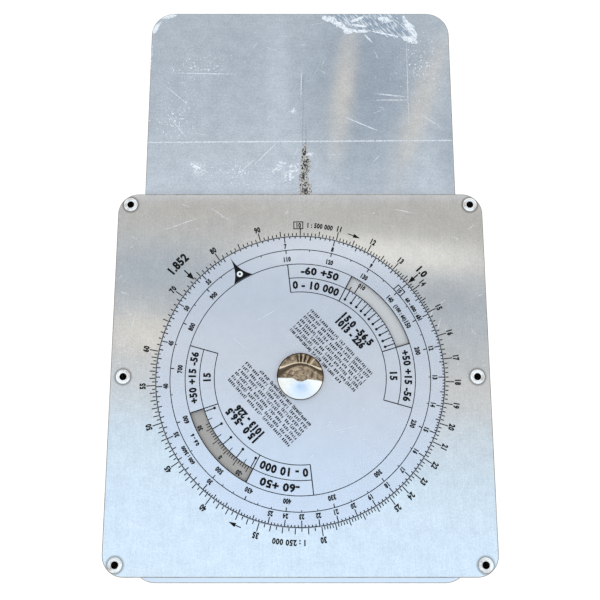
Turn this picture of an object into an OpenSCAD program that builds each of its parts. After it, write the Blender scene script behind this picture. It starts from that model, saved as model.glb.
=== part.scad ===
// Circular slide-rule flight computer. A flat riveted body of two aluminium plates carries a
// turning calculator disc on its front, a turning compass ring with a frosted window on its
// back, and a long slide that is pushed through between the plates.
// Millimetres. +Z points out of the calculator side and +Y towards the drawn-out end of the
// slide. The origin is on the pivot axis, at the flat face that the computer lies on.

/* [Body] */
// Width of the rail on each side of the slide
rail_w = 9.25; // [8:0.25:14]
// Height of the front and back plates
body_h = 135; // [130:0.5:160]
// Corner radius of the plates
body_corner_r = 7.5; // [3:0.5:12]
// Thickness of the front plate
front_plate_t = 1.2; // [1:0.1:2]
// Thickness of the back plate
back_plate_t = 1.2; // [0.8:0.1:2]

/* [Slide] */
// Width of the strip along each edge of the slide that lies on its rail's ledge
ledge_w = 3.6; // [2:0.2:8]
// Length of the slide
slide_l = 211.6; // [190:0.2:240]
// Thickness of the slide's sheet
slide_t = 0.8; // [0.5:0.1:1.5]
// Corner radius of the slide
slide_corner_r = 9; // [3:0.5:14]
// How far the slide stands out past the top edge of the body
slide_out = 74.5; // [40:0.5:110]
// Clearance between each edge of the slide and its rail
slide_side_gap = 0.15; // [0.05:0.05:0.5]
// Clearance above and below the slide in its groove
slide_face_gap = 0.15; // [0.05:0.05:0.5]

/* [Eyelets] */
// Distance from the end edges of the body to the corner eyelets
eyelet_end_inset = 4.1; // [3:0.1:12]
// Hole through an eyelet
eyelet_bore_d = 2.35; // [1.6:0.05:3]
// Wall of an eyelet's barrel
eyelet_wall = 0.3; // [0.2:0.05:0.5]
// Diameter of an eyelet's rolled flange
eyelet_flange_d = 5.2; // [4.6:0.1:6.4]
// Height of the rolled flange above the plate
eyelet_flange_h = 0.5; // [0.3:0.05:0.8]

/* [Calculator disc] */
// Diameter of the calculator disc
disc_d = 102.8; // [96:0.2:116]
// Thickness of the calculator disc
disc_t = 0.6; // [0.5:0.1:1.5]
// Inner radius of the two arched windows
window_in_r = 35.6; // [28:0.1:37]
// Outer radius of the two arched windows
window_out_r = 40.7; // [39:0.1:45]
// Clockwise angle at which the upper window starts
upper_window_from = 27.3; // [10:0.1:40]
// Clockwise angle at which the upper window ends
upper_window_to = 73.2; // [50:0.1:90]
// Clockwise angle at which the lower window starts
lower_window_from = 207.3; // [190:0.1:220]
// Clockwise angle at which the lower window ends
lower_window_to = 251.8; // [230:0.1:270]

/* [Pivot] */
// Diameter of the pivot stud's shank
stud_d = 4; // [3:0.1:6]
// Diameter of the stud's flat head, sunk in the underside of the front plate
stud_head_d = 9; // [7:0.5:14]
// Thickness of the stud's flat head
stud_head_t = 0.5; // [0.3:0.1:0.7]
// How far the stud's peened end spreads past the shank
stud_peen_spread = 1.2; // [0.8:0.1:2]
// Height of the stud's peened end
stud_peen_h = 0.8; // [0.4:0.1:1.2]
// Share of the peened end's height that stays upright under its slope
stud_peen_rim = 0.33; // [0.1:0.01:0.6]
// Top of the peened end as a share of its radius
stud_peen_top = 0.6; // [0.4:0.05:0.9]
// Diameter of the fibre washer under the disc
thrust_washer_d = 24; // [14:1:40]
// Thickness of the fibre washer under the disc
thrust_washer_t = 0.15; // [0.1:0.05:0.4]
// Distance from the dished spring washer to the inside of the cap
spring_washer_inset = 1.05; // [0.5:0.05:2]
// Radial play of the spring washer on the stud
spring_washer_play = 0.06; // [0.02:0.01:0.2]
// Sheet thickness of the spring washer
spring_washer_t = 0.22; // [0.15:0.01:0.35]
// Height of the spring washer's dish
spring_washer_rise = 0.5; // [0.2:0.05:0.9]
// Thickness of the seat that the cap snaps on
cap_seat_t = 0.5; // [0.4:0.1:1]
// Diameter of the domed cap
cap_d = 16.5; // [15.6:0.1:22]
// Height of the cap's dome over its straight skirt
cap_rise = 2.9; // [2:0.1:5]
// How far the straight skirt reaches above the seat
cap_skirt_over = 0.3; // [0.2:0.05:0.8]
// Gap between the cap's rim and the disc
cap_rim_gap = 0.2; // [0.1:0.05:0.4]
// Sheet thickness of the cap
cap_wall = 0.4; // [0.3:0.05:0.7]

/* [Compass ring] */
// Diameter of the opening in the back plate that the ring turns in
opening_d = 102; // [80:0.5:110]
// How far the ring's flange reaches past the opening
ring_overlap = 7.5; // [4:0.25:8.5]
// Wall of the ring's hub
hub_wall = 4.45; // [3.6:0.05:8]
// Thickness of the ring's flange
ring_t = 1; // [0.8:0.1:1.6]
// Chamfer on the ring's lower edges
ring_chamfer = 0.3; // [0.1:0.05:0.5]
// Depth of the printed track that is sunk in the ring's lower face
track_depth = 0.1; // [0.05:0.05:0.2]
// Width of the plain rim outside the printed track
track_rim = 0.9; // [0.7:0.1:1.5]
// Distance from the rivet heads to the printed track
track_rivet_gap = 0.5; // [0.2:0.1:1]
// Radial clearance between the ring's hub and the opening
ring_run_gap = 0.05; // [0.02:0.01:0.1]
// Clearance between the plate and the faces that turn against it
ring_face_gap = 0.05; // [0.02:0.01:0.15]
// Number of notches in the ring's finger grip
notch_count = 120; // [60:4:180]
// Radius of one notch
notch_r = 0.7; // [0.4:0.05:1]
// Depth of one notch
notch_depth = 0.35; // [0.2:0.05:0.5]

/* [Plotting window] */
// Thickness of the frosted plotting window
plot_t = 1; // [0.8:0.1:1.6]
// How far the window reaches over the back plate, past the opening
plot_overlap = 2.5; // [1.5:0.1:4]
// Clearance between the plotting window and the slide
plot_slide_gap = 0.25; // [0.1:0.05:0.6]
// Number of rivets that join the ring and the window
rivet_count = 12; // [6:1:24]
// Diameter of a rivet's shank
rivet_d = 1.6; // [1.2:0.1:2]
// Diameter of a rivet's countersunk head
rivet_head_d = 3; // [2.4:0.1:3.6]
// Depth of a rivet's countersunk head
rivet_head_h = 0.6; // [0.3:0.05:0.7]
// How far the rivet ends lie below the faces
rivet_sink = 0.04; // [0.02:0.01:0.1]
// Outer diameter of the barrel of the centre grommet
grommet_d = 1.8; // [1.4:0.1:3]
// Hole through the centre grommet
grommet_bore_d = 0.9; // [0.5:0.1:1.2]
// Diameter of the centre grommet's flange
grommet_flange_d = 3.2; // [2.6:0.1:5]
// Thickness of the centre grommet's flange
grommet_flange_t = 0.25; // [0.15:0.05:0.4]

/* [Fits] */
// Radial play of a fastener in its own hole
fastener_fit = 0.02; // [0.01:0.01:0.05]
// Radial running clearance of the disc on its stud
disc_run_gap = 0.05; // [0.02:0.01:0.1]
// Clearance between stacked faces that turn on each other
stack_gap = 0.05; // [0.02:0.01:0.1]
// Clearance between the compass-side window and the rails' ledges
ledge_clear = 1; // [0.5:0.1:1.5]

/* [Hidden] */
$fn = 128;
eps = 0.01;
plot_r = opening_d / 2 + plot_overlap;
hub_r = opening_d / 2 - ring_run_gap;
ring_bore_r = hub_r - hub_wall;
ring_r = opening_d / 2 + ring_overlap;
ledge_in_x = plot_r + ledge_clear;
slide_w = 2 * (ledge_in_x + ledge_w);
rail_in_x = slide_w / 2 + slide_side_gap;
body_w = 2 * (rail_in_x + rail_w);
eyelet_x = (rail_in_x + body_w / 2) / 2;
eyelet_y = body_h / 2 - eyelet_end_inset;
eyelet_bore_r = eyelet_bore_d / 2;
eyelet_barrel_r = eyelet_bore_r + eyelet_wall;
eyelet_flange_r = eyelet_flange_d / 2;
stud_r = stud_d / 2;
rivet_r = rivet_d / 2;
rivet_circle_r = (ring_bore_r + hub_r) / 2;
track_in_r = rivet_circle_r + rivet_head_d / 2 + track_rivet_gap;
track_out_r = ring_r - track_rim;
cap_r = cap_d / 2;
cap_in_r = cap_r - cap_wall;
// Levels of the stack, from the face that the computer lies on upwards
back_z = ring_t + ring_face_gap;
back_top_z = back_z + back_plate_t;
plot_z = back_top_z + ring_face_gap;
plot_top_z = plot_z + plot_t;
slide_z = plot_top_z + plot_slide_gap;
slide_top_z = slide_z + slide_t;
front_z = slide_top_z + slide_face_gap;
front_top_z = front_z + front_plate_t;
disc_z = front_top_z + thrust_washer_t + stack_gap;
disc_top_z = disc_z + disc_t;
spring_z = disc_top_z + stack_gap;
seat_z = spring_z + spring_washer_t + spring_washer_rise + stack_gap;
seat_top_z = seat_z + cap_seat_t;
stud_end_z = seat_top_z + stud_peen_h;
head_seat_z = front_z + stud_head_t + stack_gap;
cap_z = disc_top_z + cap_rim_gap;
cap_skirt_h = seat_top_z + cap_skirt_over - cap_z;

// A rectangle with round corners, centred at the origin
module rounded_plate(w, h, r) {
    square([w - 2 * r, h], center = true);
    square([w, h - 2 * r], center = true);
    for (x = [-1, 1], y = [-1, 1])
        translate([x * (w / 2 - r), y * (h / 2 - r)])
            circle(r = r);
}

// A band between two radii and two angles that are counted clockwise from +Y
module arc_band(in_r, out_r, from, to) {
    far = 2 * out_r;
    middle = (from + to) / 2;
    intersection() {
        difference() {
            circle(r = out_r);
            circle(r = in_r);
        }
        polygon([
            [0, 0],
            [far * sin(from), far * cos(from)],
            [far * sin(middle), far * cos(middle)],
            [far * sin(to), far * cos(to)]
        ]);
    }
}

// A flat ring around the pivot axis
module washer(out_r, in_r, t) {
    rotate_extrude()
        translate([in_r, 0])
            square([out_r - in_r, t]);
}

// Puts a copy at each of the six eyelets
module at_eyelets() {
    for (x = [-1, 1], y = [-1, 0, 1])
        translate([x * eyelet_x, y * eyelet_y])
            children();
}

module eyelet_holes() {
    at_eyelets()
        circle(r = eyelet_barrel_r + fastener_fit, $fn = 48);
}

// One plate of the body, with the holes for its eyelets
module plate_outline() {
    difference() {
        rounded_plate(body_w, body_h, body_corner_r);
        eyelet_holes();
    }
}

// Front plate: carries the fixed outer scale, and the stud's head is sunk in its underside
module front_plate() {
    color("silver")
        difference() {
            translate([0, 0, front_z])
                linear_extrude(front_plate_t)
                    plate_outline();
            translate([0, 0, front_z - eps])
                cylinder(r = stud_r + fastener_fit, h = front_plate_t + 2 * eps);
            translate([0, 0, front_z - eps])
                cylinder(d = stud_head_d + 2 * fastener_fit, h = head_seat_z - front_z + eps);
        }
}

// Back plate: the hub of the compass ring turns in its round opening
module back_plate() {
    color("lightsteelblue")
        translate([0, 0, back_z])
            linear_extrude(back_plate_t)
                difference() {
                    plate_outline();
                    circle(d = opening_d);
                }
}

// Spacer rail along one side: its step is the groove that one edge of the slide runs in
module rail(side) {
    ledge_top_z = slide_z - slide_face_gap;
    difference() {
        union() {
            translate([0, 0, back_top_z])
                linear_extrude(front_z - back_top_z)
                    intersection() {
                        rounded_plate(body_w, body_h, body_corner_r);
                        translate([side > 0 ? rail_in_x : -body_w / 2, -body_h / 2])
                            square([body_w / 2 - rail_in_x, body_h]);
                    }
            translate([side > 0 ? ledge_in_x : -rail_in_x - eps, -body_h / 2, back_top_z])
                cube([rail_in_x - ledge_in_x + eps, body_h, ledge_top_z - back_top_z]);
        }
        translate([0, 0, back_top_z - eps])
            linear_extrude(front_z - back_top_z + 2 * eps)
                eyelet_holes();
    }
}

module left_rail() {
    color("darkgray") rail(-1);
}

module right_rail() {
    color("darkgray") rail(1);
}

// Half section of a rolled flange: an arched bead over the plate's face
module rolled_flange() {
    width = eyelet_flange_r - eyelet_bore_r;
    bead_r = (pow(width / 2, 2) + pow(eyelet_flange_h, 2)) / (2 * eyelet_flange_h);
    intersection() {
        translate([eyelet_bore_r + width / 2, eyelet_flange_h - bead_r])
            circle(r = bead_r);
        translate([eyelet_bore_r, 0])
            square([width, eyelet_flange_h]);
    }
}

// One tubular eyelet with a flange rolled over at both ends
module eyelet() {
    rotate_extrude($fn = 64) {
        translate([eyelet_bore_r, back_z])
            square([eyelet_wall, front_top_z - back_z]);
        translate([0, front_top_z])
            rolled_flange();
        translate([0, back_z])
            mirror([0, 1])
                rolled_flange();
    }
}

module eyelets() {
    color("gainsboro")
        at_eyelets()
            eyelet();
}

// Calculator disc with its two arched windows
module calculator_disc() {
    color("lightgray")
        translate([0, 0, disc_z])
            linear_extrude(disc_t)
                difference() {
                    circle(d = disc_d, $fn = 256);
                    circle(r = stud_r + disc_run_gap);
                    arc_band(window_in_r, window_out_r, upper_window_from, upper_window_to);
                    arc_band(window_in_r, window_out_r, lower_window_from, lower_window_to);
                }
}

// Pivot stud: a flat head under the front plate and a peened end over the cap's seat
module pivot_stud() {
    head_r = stud_head_d / 2;
    peen_r = stud_r + stud_peen_spread;
    peen_rim_z = seat_top_z + stud_peen_h * stud_peen_rim;
    color("slategray")
        rotate_extrude()
            polygon([
                [0, head_seat_z - stud_head_t], [head_r, head_seat_z - stud_head_t],
                [head_r, head_seat_z], [stud_r, head_seat_z],
                [stud_r, seat_top_z], [peen_r, seat_top_z],
                [peen_r, peen_rim_z], [peen_r * stud_peen_top, stud_end_z],
                [0, stud_end_z]
            ]);
}

// Fibre washer that the disc turns on
module thrust_washer() {
    color("peru")
        translate([0, 0, front_top_z])
            washer(thrust_washer_d / 2, stud_r + fastener_fit, thrust_washer_t);
}

// Dished spring washer that presses the disc down
module spring_washer() {
    in_r = stud_r + spring_washer_play;
    out_r = cap_in_r - spring_washer_inset;
    color("dimgray")
        rotate_extrude()
            polygon([
                [in_r, spring_z + spring_washer_rise],
                [out_r, spring_z],
                [out_r, spring_z + spring_washer_t],
                [in_r, spring_z + spring_washer_rise + spring_washer_t]
            ]);
}

// Round seat under the peened end, with the cap snapped over its edge
module cap_seat() {
    color("gray")
        translate([0, 0, seat_z])
            washer(cap_in_r - fastener_fit, stud_r + fastener_fit, cap_seat_t);
}

// Outline of a dome over a straight skirt, from the axis outwards
module dome_section(r, skirt, rise) {
    ball_r = (r * r + rise * rise) / (2 * rise);
    square([r, skirt]);
    intersection() {
        translate([0, skirt + rise - ball_r])
            circle(r = ball_r);
        translate([0, skirt - eps])
            square([r, rise + eps]);
    }
}

// Polished cap drawn from thin sheet
module dome_cap() {
    color("whitesmoke")
        translate([0, 0, cap_z])
            rotate_extrude()
                difference() {
                    dome_section(cap_r, cap_skirt_h, cap_rise);
                    translate([0, -eps])
                        dome_section(cap_in_r, cap_skirt_h + eps, cap_rise - cap_wall);
                }
}

// Slide: drawn out past the top edge as in use
module slide_plate() {
    color("lightblue")
        translate([0, body_h / 2 + slide_out - slide_l / 2, slide_z])
            linear_extrude(slide_t)
                rounded_plate(slide_w, slide_l, slide_corner_r);
}

// Section of a rivet through ring and window: two countersunk heads, their ends cut back
// below the faces by sink, and the whole grown by a clearance
module rivet_section(sink, grow) {
    r = rivet_r + grow;
    flare = (rivet_head_d / 2 - rivet_r) / rivet_head_h;
    end_r = r + flare * (rivet_head_h - sink);
    polygon([
        [0, sink], [end_r, sink], [r, rivet_head_h],
        [r, plot_top_z - rivet_head_h], [end_r, plot_top_z - sink], [0, plot_top_z - sink]
    ]);
}

// The circle of rivets, or the holes for them
module rivet_circle(sink, grow) {
    for (i = [0 : rivet_count - 1])
        rotate([0, 0, (i + 0.5) * 360 / rivet_count])
            translate([rivet_circle_r, 0, 0])
                rotate_extrude($fn = 32)
                    rivet_section(sink, grow);
}

// Section of the compass ring: a flat flange, its graduated track sunk so that the print
// doesn't rub on a table, and a hub that reaches through the plate
module ring_section() {
    polygon([
        [ring_bore_r + ring_chamfer, 0], [track_in_r, 0], [track_in_r, track_depth],
        [track_out_r, track_depth], [track_out_r, 0], [ring_r - ring_chamfer, 0],
        [ring_r, ring_chamfer], [ring_r, ring_t],
        [hub_r, ring_t], [hub_r, plot_z],
        [ring_bore_r, plot_z], [ring_bore_r, ring_chamfer]
    ]);
}

// Compass ring with a notched finger grip all round its edge
module compass_ring() {
    notch_at = ring_r + notch_r - notch_depth;
    color("lightslategray")
        difference() {
            rotate_extrude($fn = 256)
                ring_section();
            for (i = [0 : notch_count - 1])
                rotate([0, 0, i * 360 / notch_count])
                    translate([notch_at, 0, -eps])
                        cylinder(r = notch_r, h = ring_t + 2 * eps, $fn = 24);
            rivet_circle(0, fastener_fit);
        }
}

// Frosted plotting window, riveted on the hub from inside the body
module plotting_window() {
    color([0.85, 0.9, 0.9, 0.4])
        difference() {
            translate([0, 0, plot_z])
                cylinder(r = plot_r, h = plot_t);
            translate([0, 0, plot_z - eps])
                cylinder(d = grommet_d + 2 * fastener_fit, h = plot_t + 2 * eps);
            rivet_circle(0, fastener_fit);
        }
}

module ring_rivets() {
    color("gainsboro")
        rivet_circle(rivet_sink, 0);
}

// Small grommet at the middle of the window: the pivot point of a plotted wind
module centre_grommet() {
    color("gold")
        rotate_extrude($fn = 48) {
            translate([grommet_bore_d / 2, plot_z - grommet_flange_t])
                square([(grommet_d - grommet_bore_d) / 2, plot_t + grommet_flange_t - rivet_sink]);
            translate([grommet_bore_d / 2, plot_z - grommet_flange_t])
                square([(grommet_flange_d - grommet_bore_d) / 2, grommet_flange_t]);
        }
}

front_plate();
back_plate();
left_rail();
right_rail();
eyelets();
calculator_disc();
pivot_stud();
thrust_washer();
spring_washer();
cap_seat();
dome_cap();
slide_plate();
compass_ring();
plotting_window();
ring_rivets();
centre_grommet();
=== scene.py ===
import math
import random

import bmesh
import bpy
from mathutils import Matrix, Vector
from mathutils.geometry import interpolate_bezier


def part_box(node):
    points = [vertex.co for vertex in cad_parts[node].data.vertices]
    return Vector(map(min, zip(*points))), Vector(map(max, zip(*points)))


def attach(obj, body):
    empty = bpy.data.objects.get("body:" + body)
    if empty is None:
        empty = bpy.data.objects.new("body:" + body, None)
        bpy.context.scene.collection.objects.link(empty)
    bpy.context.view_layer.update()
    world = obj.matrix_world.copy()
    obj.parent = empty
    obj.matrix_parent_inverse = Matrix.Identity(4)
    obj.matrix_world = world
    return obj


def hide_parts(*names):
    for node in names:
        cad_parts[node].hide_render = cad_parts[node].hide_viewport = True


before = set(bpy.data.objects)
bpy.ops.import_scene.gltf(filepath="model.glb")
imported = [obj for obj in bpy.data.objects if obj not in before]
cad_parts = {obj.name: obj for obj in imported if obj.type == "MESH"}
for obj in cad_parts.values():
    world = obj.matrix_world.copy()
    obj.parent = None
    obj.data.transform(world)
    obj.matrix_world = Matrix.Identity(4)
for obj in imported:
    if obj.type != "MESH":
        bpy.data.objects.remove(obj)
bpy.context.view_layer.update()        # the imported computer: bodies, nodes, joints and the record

# Pieces are drawn in millimetres, in the frame of the CAD parts, and turned to metres when
# they are finished. Angles on the dials count clockwise from +Y, as a reader sees them.
mm = 0.001
scene = bpy.context.scene
scene.view_settings.view_transform = "Standard"


# Heights of a CAD part's lowest and highest corner
def levelsOf(node):
    return [corner.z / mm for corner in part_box(node)]


frontBottom, frontTop = levelsOf("front_plate")
backBottom, backTop = levelsOf("back_plate")
discBottom, discTop = levelsOf("calculator_disc")
slideBottom, slideTop = levelsOf("slide_plate")
capBottom, capTop = levelsOf("dome_cap")


# A point at a radius and a dial angle
def polar(radius, angle, z=0.0):
    turn = math.radians(angle)
    return Vector((radius * math.sin(turn), radius * math.cos(turn), z))


# Camera

cameraLook = {"place": (-0.1, -9.0, 229.7), "tilt": 9.27, "lens": 37.63}


def makeCamera(look):
    camera = bpy.data.objects.new("photoCamera", bpy.data.cameras.new("photoCamera"))
    camera.data.lens = look["lens"]
    camera.location = Vector(look["place"]) * mm
    camera.rotation_euler = (math.radians(look["tilt"]), 0, 0)
    scene.collection.objects.link(camera)
    scene.camera = camera


makeCamera(cameraLook)
print("camera made")


# Material helpers

# A value inside a shader, so that sums of values read as sums
class Wire:
    def __init__(self, socket):
        self.socket = socket
        self.tree = socket.id_data

    def __add__(self, other):
        return calculate("ADD", self, other)

    def __sub__(self, other):
        return calculate("SUBTRACT", self, other)

    def __rsub__(self, other):
        return calculate("SUBTRACT", other, self)

    def __mul__(self, other):
        return calculate("MULTIPLY", self, other)


# sRGB hex code to the linear colour that the shaders take
def linearColour(code):
    parts = [int(code[i:i + 2], 16) / 255 for i in (1, 3, 5)]
    return [p / 12.92 if p <= 0.04045 else ((p + 0.055) / 1.055) ** 2.4 for p in parts] + [1.0]


# Adds a node with its settings; an input takes a value, a hex code or the wire that feeds it
def addNode(tree, kind, inputs=None, **settings):
    node = tree.nodes.new(kind)
    for name, value in settings.items():
        setattr(node, name, value)
    for name, value in (inputs or {}).items():
        if isinstance(value, Wire):
            tree.links.new(value.socket, node.inputs[name])
        else:
            node.inputs[name].default_value = linearColour(value) if isinstance(value, str) else value
    return node


# Adds a node and returns what comes out of it
def feed(tree, kind, inputs=None, output=0, **settings):
    return Wire(addNode(tree, kind, inputs, **settings).outputs[output])


def calculate(operation, first, second=0.0, clamp=False):
    tree = first.tree if isinstance(first, Wire) else second.tree
    return feed(tree, "ShaderNodeMath", {0: first, 1: second}, operation=operation, use_clamp=clamp)


def sidesOf(place):
    node = addNode(place.tree, "ShaderNodeSeparateXYZ", {0: place})
    return [Wire(output) for output in node.outputs]


# Noise with features of a size in mm, stretched along x, y, z where stretch is given
def noiseOf(place, size, detail=3.0, roughness=0.5, stretch=None, angle=0.0):
    if stretch:
        place = feed(place.tree, "ShaderNodeMapping", {
            "Vector": place, "Rotation": (0, 0, math.radians(angle)),
            "Scale": stretch}, vector_type="TEXTURE")
    return feed(place.tree, "ShaderNodeTexNoise", {
        "Vector": place, "Scale": 1 / (size * mm), "Detail": detail, "Roughness": roughness}, "Fac")


# Brings a value from one range to another and holds it there
def remap(value, low, high, newLow=0.0, newHigh=1.0):
    return feed(value.tree, "ShaderNodeMapRange", {
        "Value": value, "From Min": low, "From Max": high, "To Min": newLow, "To Max": newHigh})


# Soft ellipse in the XY plane: 1 in its middle and 0 at its rim
def ellipseMask(place, x, y, halfLength, halfWidth, angle=0.0):
    moved = feed(place.tree, "ShaderNodeMapping", {
        "Vector": place, "Location": (x * mm, y * mm, 0), "Rotation": (0, 0, math.radians(angle)),
        "Scale": (halfLength * mm, halfWidth * mm, 1)}, vector_type="TEXTURE")
    return feed(place.tree, "ShaderNodeTexGradient", {"Vector": moved}, "Fac", gradient_type="SPHERICAL")


# The strongest of several ellipses
def ellipsesMask(place, ellipses):
    mask, *others = [ellipseMask(place, *ellipse) for ellipse in ellipses]
    for other in others:
        mask = calculate("MAXIMUM", mask, other)
    return mask


def mixColour(factor, first, second):
    return feed(factor.tree, "ShaderNodeMix", {0: factor, 6: first, 7: second}, 2, data_type="RGBA")


def mixShader(factor, first, second):
    return feed(factor.tree, "ShaderNodeMixShader", {0: factor, 1: first, 2: second})


materials = {}


# Starts a material and returns the place of its points, from which the rest is made
def newMaterial(name):
    material = bpy.data.materials.new(name)
    material.use_nodes = True
    material.node_tree.nodes.clear()
    materials[name] = material
    return feed(material.node_tree, "ShaderNodeTexCoord", output="Object")


def closeMaterial(shader):
    addNode(shader.tree, "ShaderNodeOutputMaterial", {"Surface": shader})


# Ends a material whose surface is raised by a height times a depth in mm
def closeSurface(height, depth, inputs):
    bump = feed(height.tree, "ShaderNodeBump", {"Height": height, "Distance": depth * mm})
    closeMaterial(feed(height.tree, "ShaderNodeBsdfPrincipled", {**inputs, "Normal": bump}))


# Materials of the sheet parts

# Places of the six eyelets, from the box that the CAD eyelets fill
eyeletLook = {"bore": 1.175, "barrel": 1.475, "flange": 2.6, "flangeRise": 0.5, "segments": 56,
              "beadSteps": 14, "throat": 0.06}
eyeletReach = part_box("eyelets")[1].to_2d() / mm - Vector((eyeletLook["flange"], eyeletLook["flange"]))
eyeletPlaces = [(x * eyeletReach.x, y * eyeletReach.y) for x in (-1, 1) for y in (-1, 0, 1)]
# Painted shade: the sheet is darkened in a ring round each eyelet's flange, where the flange stands on it
eyeletShadeRing = {"tone": "#57524c", "places": [(x, y, 3.5, 3.5) for x, y in eyeletPlaces]}

# Anodised sheet aluminium keeps a fine etched grain and handling marks. The real grain is
# about 0.1 mm; it is drawn coarser here so that it shows in the render. A scratch is x, y,
# half length, half width and angle; a field of small ones is their number, the room they take
# in x and y, and the half length of the longest.
plateAluminium = {
    "light": "#e3e3e1", "dark": "#c6c7c7", "grain": 0.55, "grainShare": 0.5,
    "blotch": 38.0, "mottle": 5.0, "roughness": (0.07, 0.12), "bump": 0.001, "metallic": 1.0,
    "brush": (1, 22, 1), "brushSize": 0.35, "brushShare": 0.25, "scratchTone": "#efefee",
    "scratches": [(-44, 56, 9, 0.16, 20), (-30, 60, 6, 0.14, -35), (52, 44, 4, 0.2, 10),
                  (-60, 20, 5, 0.15, 80), (56, -38, 7, 0.15, 64), (-58, -50, 6, 0.16, -20),
                  (38, 61, 5, 0.14, -12), (47, 22, 3.5, 0.15, 65), (50, 19, 3, 0.15, 70)],
    "fields": [(22, (-66, -57), (-20, 60), 1.6), (22, (50, 66), (-30, 56), 1.8),
               (10, (-60, 60), (54, 65), 1.8), (10, (-60, 60), (-66, -58), 1.6)],
    "shadeRing": eyeletShadeRing, "seed": 7}
discAluminium = {
    "light": "#d9dee7", "dark": "#cdd2db", "grain": 0.5, "grainShare": 0.45,
    "blotch": 30.0, "mottle": 4.0, "roughness": (0.09, 0.14), "bump": 0.001, "metallic": 0.42,
    "brush": (1, 14, 1), "brushSize": 0.3, "brushShare": 0.2, "scratchTone": "#e3e7ec",
    "scratches": [(-12, 22, 5, 0.13, 30), (-22, 12, 4, 0.12, -40), (16, -18, 5, 0.13, 12)],
    "fields": [(14, (-28, 28), (-28, 28), 1.6)], "seed": 5}
backAluminium = {
    "light": "#e2e3e3", "dark": "#cfd1d2", "grain": 0.55, "grainShare": 0.5,
    "blotch": 40.0, "mottle": 6.0, "roughness": (0.2, 0.3), "bump": 0.0012, "metallic": 0.8,
    "brush": (1, 22, 1), "brushSize": 0.35, "brushShare": 0.25, "scratchTone": "#f4f4f4",
    "scratches": [(-60, 40, 9, 0.16, 75), (61, -30, 7, 0.14, 95), (20, 63, 8, 0.16, 8)],
    "fields": [(18, (-62, 62), (-66, 66), 4)], "shadeRing": eyeletShadeRing, "seed": 9}
ringAluminium = {
    "light": "#e6e6e6", "dark": "#d3d5d6", "grain": 0.5, "grainShare": 0.4,
    "blotch": 24.0, "mottle": 4.0, "roughness": (0.2, 0.3), "bump": 0.001, "metallic": 0.8,
    "brush": (1, 10, 1), "brushSize": 0.3, "brushShare": 0.2, "scratchTone": "#f6f6f6",
    "scratches": [(0, -56, 6, 0.14, 10), (50, 20, 5, 0.14, -60)], "fields": [], "seed": 1}
# Rolled sheet left bright: a bluish sheen with fine lines across it, and long scratches
slideAluminium = {
    "light": "#cfd5da", "dark": "#afb5bc", "grain": 0.6, "grainShare": 0.55,
    "blotch": 34.0, "mottle": 5.0, "roughness": (0.05, 0.09), "bump": 0.0009, "metallic": 1.0,
    "brush": (26, 1, 1), "brushSize": 0.32, "brushShare": 0.16, "scratchTone": "#e9edf1",
    "scratches": [(0, 88.8, 120, 0.36, 0.4), (34.5, 107.6, 7, 0.34, -6), (35, 105.6, 8, 0.28, 0),
                  (23, 96, 10, 0.3, -24), (41.4, 111, 26, 0.15, 90), (-36, 116.5, 15, 0.26, -1),
                  (-13, 84, 9, 0.24, 46), (-20, 79, 7, 0.2, 44), (0.4, 112, 7, 0.25, 88),
                  (-47, 95, 8, 0.2, -52), (50, 97, 6, 0.2, -35), (-48, 108, 7, 0.18, -40)],
    "fields": [(34, (-54, 54), (68, 140), 5), (8, (-50, 50), (-60, 60), 5)], "seed": 48}


# Fine handling scratches spread over a field, always the same ones
def randomScratches(look):
    random.seed(look["seed"])
    made = []
    for count, across, along, longest in look["fields"]:
        for _ in range(count):
            made.append((random.uniform(*across), random.uniform(*along), random.uniform(0.5, longest),
                         random.uniform(0.08, 0.14), random.uniform(-70, 70)))
    return made


# Aluminium sheet: grain and brushing in colour and bump, blotches in gloss, thin scratches
def sheetMetal(name, look, wear=None):
    place = newMaterial(name)
    grain = noiseOf(place, look["grain"], 2.0)
    brush = noiseOf(place, look["brushSize"], stretch=look["brush"])
    mottle = noiseOf(place, look["mottle"], 5.0, 0.6)
    tone = (remap(grain, 0.3, 0.7) * look["grainShare"] + remap(brush, 0.3, 0.7) * look["brushShare"]
            + remap(mottle, 0.35, 0.65) * (1 - look["grainShare"] - look["brushShare"]))
    colour = mixColour(tone, look["dark"], look["light"])
    # painted shade round the eyelet flanges
    if "shadeRing" in look:
        shadeRing = remap(ellipsesMask(place, look["shadeRing"]["places"]), 0.0, 0.24, 0.0, 0.7)
        colour = mixColour(shadeRing, colour, look["shadeRing"]["tone"])
    marks = ellipsesMask(place, look["scratches"] + randomScratches(look))
    marks = calculate("MULTIPLY", marks, remap(grain, 0.35, 0.6, 0.5, 2.4), clamp=True)
    bare = calculate("SUBTRACT", look["metallic"], marks * 0.55, clamp=True)
    colour = mixColour(marks, colour, look["scratchTone"])
    gloss = remap(noiseOf(place, look["blotch"]), 0.35, 0.65, *look["roughness"]) + marks * 0.3
    if wear:
        colour, gloss, bare = wear(place, colour, gloss, bare)
    closeSurface(grain * 0.6 + brush * 0.4, look["bump"],
                 {"Base Color": colour, "Metallic": bare, "Roughness": gloss})


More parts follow.
